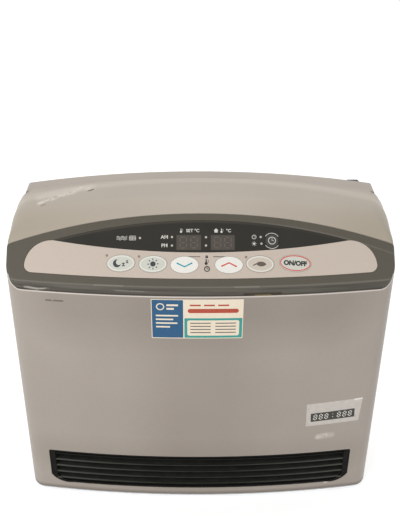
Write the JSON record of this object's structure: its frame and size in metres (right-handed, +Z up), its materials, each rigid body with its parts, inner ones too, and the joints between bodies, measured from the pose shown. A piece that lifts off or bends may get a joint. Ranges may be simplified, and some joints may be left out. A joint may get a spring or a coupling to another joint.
{
  "type": "gas fan heater",
  "caption": "Free-standing gas fan heater: bowed steel cabinet, domed top, sloping control panel with window and oval keys, louvred warm-air outlet and rear air filter.",
  "frame": {"origin": "on the floor, under the middle of the heater's width and of its whole depth", "axes": "+X to the heater's left-to-right as seen from the front, +Y from the front to the back, +Z up"},
  "size_m": [0.47, 0.173, 0.4282],
  "materials": {
    "cabinet_paint": "satin metallic beige paint on sheet steel",
    "cover_paint": "satin beige paint on moulded plastic",
    "rear_paint": "satin beige paint on sheet steel",
    "bezel_plastic": "satin olive grey moulding",
    "fascia_plastic": "satin pale beige moulding",
    "window_smoke": "smoked glossy pane",
    "button_pale": "satin pale caps",
    "button_white": "satin white caps",
    "button_beige": "satin beige cap with pale ring",
    "button_power": "satin white cap with red ring",
    "button_dark": "satin dark cap",
    "circuit_board": "green lacquered board",
    "switch_plastic": "black moulded switch bodies",
    "display_plastic": "dark display modules",
    "grille_black": "satin black heat-proof paint",
    "galvanised_steel": "zinc coated sheet",
    "chamber_steel": "aluminised sheet",
    "burner_steel": "stainless sheet",
    "foot_rubber": "matt rubber",
    "screw_steel": "zinc plated",
    "filter_plastic": "dark grey frame with fine mesh",
    "sensor_plastic": "dark grey moulding",
    "rotor_aluminium": "plain",
    "shaft_steel": "ground",
    "bearing_brass": "plain",
    "motor_paint": "black enamel",
    "rod_ceramic": "white ceramic with bare wire tip",
    "gas_brass": "plain machined",
    "valve_aluminium": "die cast",
    "cup_plastic": "black moulding",
    "bracket_plastic": "off-white moulding",
    "transformer_iron": "varnished laminations and coil",
    "gland_rubber": "matt rubber",
    "pendulum_brass": "plain"
  },
  "bodies": {
    "cabinet": {"front_panel": "cabinet_paint", "top_cover": "cover_paint", "rear_panel": "rear_paint", "control_bezel": "bezel_plastic", "control_fascia": "fascia_plastic", "display_window": "window_smoke", "control_board": "circuit_board", "tact_switches": "switch_plastic", "digit_displays": "display_plastic", "outlet_grille": "grille_black", "base_tray": "galvanised_steel", "feet": "foot_rubber", "rear_screws": "screw_steel", "filter_rails": "sensor_plastic", "room_sensor": "sensor_plastic", "outlet_duct": "galvanised_steel", "fan_casing": "galvanised_steel", "shaft_bearing": "bearing_brass", "fan_motor": "motor_paint", "combustion_chamber": "chamber_steel", "burner": "burner_steel", "heat_shield": "chamber_steel", "overheat_thermostat": "switch_plastic", "igniter": "rod_ceramic", "flame_sensor": "rod_ceramic", "gas_manifold": "gas_brass", "gas_valve": "valve_aluminium", "gas_pipe": "gas_brass", "inlet_pipe": "gas_brass", "inlet_cup": "cup_plastic", "gas_inlet": "gas_brass", "board_bracket": "bracket_plastic", "main_board": "circuit_board", "transformer": "transformer_iron", "spark_unit": "bracket_plastic", "cord_gland": "gland_rubber", "tip_over_switch": "bracket_plastic"},
    "fan": {"fan_rotor": "rotor_aluminium", "fan_shaft": "shaft_steel"},
    "filter": {"air_filter": "filter_plastic"},
    "tilt": {"tip_pendulum": "pendulum_brass"},
    "sleep_key": {"sleep_button": "button_pale"},
    "morning_key": {"morning_button": "button_pale"},
    "down_key": {"down_button": "button_white"},
    "up_key": {"up_button": "button_white"},
    "save_key": {"save_button": "button_beige"},
    "power_key": {"power_button": "button_power"},
    "time_set_key": {"time_set_button": "button_dark"}
  },
  "joints": [
    {"name": "fan_spin", "type": "hinge", "parent": "cabinet", "child": "fan", "pos_m": [0, 0.0135, 0.062], "axis": [1, 0, 0], "continuous": true},
    {"name": "filter_slide", "type": "slide", "parent": "cabinet", "child": "filter", "axis": [0, 0, 1], "range_m": [0, 0.25]},
    {"name": "tilt_swing", "type": "hinge", "parent": "cabinet", "child": "tilt", "pos_m": [-0.217, 0.0335, 0.0385], "axis": [0, 1, 0], "range_deg": [-15, 15]},
    {"name": "sleep_press", "type": "slide", "parent": "cabinet", "child": "sleep_key", "axis": [0, 0.7193, -0.6947], "range_m": [0, 0.001], "stiffness_N_per_m": 700, "springref_m": -0.001},
    {"name": "morning_press", "type": "slide", "parent": "cabinet", "child": "morning_key", "axis": [0, 0.7193, -0.6947], "range_m": [0, 0.001], "stiffness_N_per_m": 700, "springref_m": -0.001},
    {"name": "down_press", "type": "slide", "parent": "cabinet", "child": "down_key", "axis": [0, 0.7193, -0.6947], "range_m": [0, 0.001], "stiffness_N_per_m": 700, "springref_m": -0.001},
    {"name": "up_press", "type": "slide", "parent": "cabinet", "child": "up_key", "axis": [0, 0.7193, -0.6947], "range_m": [0, 0.001], "stiffness_N_per_m": 700, "springref_m": -0.001},
    {"name": "save_press", "type": "slide", "parent": "cabinet", "child": "save_key", "axis": [0, 0.7193, -0.6947], "range_m": [0, 0.001], "stiffness_N_per_m": 700, "springref_m": -0.001},
    {"name": "power_press", "type": "slide", "parent": "cabinet", "child": "power_key", "axis": [0, 0.7193, -0.6947], "range_m": [0, 0.001], "stiffness_N_per_m": 700, "springref_m": -0.001},
    {"name": "time_set_press", "type": "slide", "parent": "cabinet", "child": "time_set_key", "axis": [0, 0.7193, -0.6947], "range_m": [0, 0.001], "stiffness_N_per_m": 700, "springref_m": -0.001}
  ]
}
